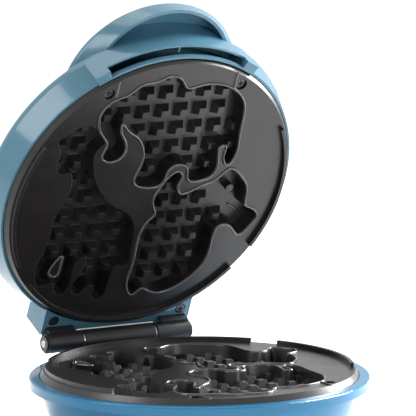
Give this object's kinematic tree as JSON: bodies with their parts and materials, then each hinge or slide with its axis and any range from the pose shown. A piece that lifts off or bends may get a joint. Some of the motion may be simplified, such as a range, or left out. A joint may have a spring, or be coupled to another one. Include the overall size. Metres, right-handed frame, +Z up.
{
  "type": "mini waffle maker",
  "caption": "Round countertop waffle maker with a hinged lid, two moulded baking plates and a hooded handle.",
  "frame": {"origin": "bottom centre of the whole object's box with the lid open as it stands, on the table under the feet", "axes": "+Z up, -Y towards the handle at the front, +Y towards the hinge, X along the hinge axis"},
  "size_m": [0.203, 0.2286, 0.2665],
  "materials": {
    "base_plastic": "glossy",
    "lid_plastic": "satin gloss",
    "black_plastic": "fine matt",
    "nonstick": "black non-stick coating",
    "steel": "plain",
    "dark_steel": "blackened",
    "bright_aluminium": "mill",
    "ceramic": "matt",
    "rubber": "matt",
    "red_lens": "clear",
    "green_lens": "clear",
    "lamp_glass": "clear"
  },
  "bodies": {
    "base": {"base_shell": "base_plastic", "base_cover": "black_plastic", "cover_screws": "steel", "rubber_feet": "rubber", "lower_plate": "nonstick", "lower_plate_screws": "dark_steel", "lower_heating_element": "steel", "lower_element_clips": "steel", "lower_heat_shield": "bright_aluminium", "thermostat": "ceramic", "thermal_fuse": "bright_aluminium", "fuse_clip": "steel", "terminal_block": "ceramic", "cord_grommet": "rubber", "base_hinge_bracket": "black_plastic", "bracket_screws": "steel", "hinge_pin": "steel", "friction_washers": "steel", "pin_clips": "dark_steel"},
    "lid": {"lid_shell": "lid_plastic", "upper_plate": "nonstick", "upper_plate_screws": "dark_steel", "upper_heating_element": "steel", "upper_element_clips": "steel", "upper_heat_shield": "bright_aluminium", "left_lid_hinge_bracket": "black_plastic", "right_lid_hinge_bracket": "black_plastic", "lid_bracket_screws": "steel", "power_lens": "red_lens", "ready_lens": "green_lens", "indicator_lamps": "lamp_glass"}
  },
  "joints": [
    {"name": "lid_hinge", "type": "hinge", "parent": "base", "child": "lid", "pos_m": [0, 0.08973, 0.0552], "axis": [-1, 0, 0], "range_deg": [-64, 41]}
  ]
}
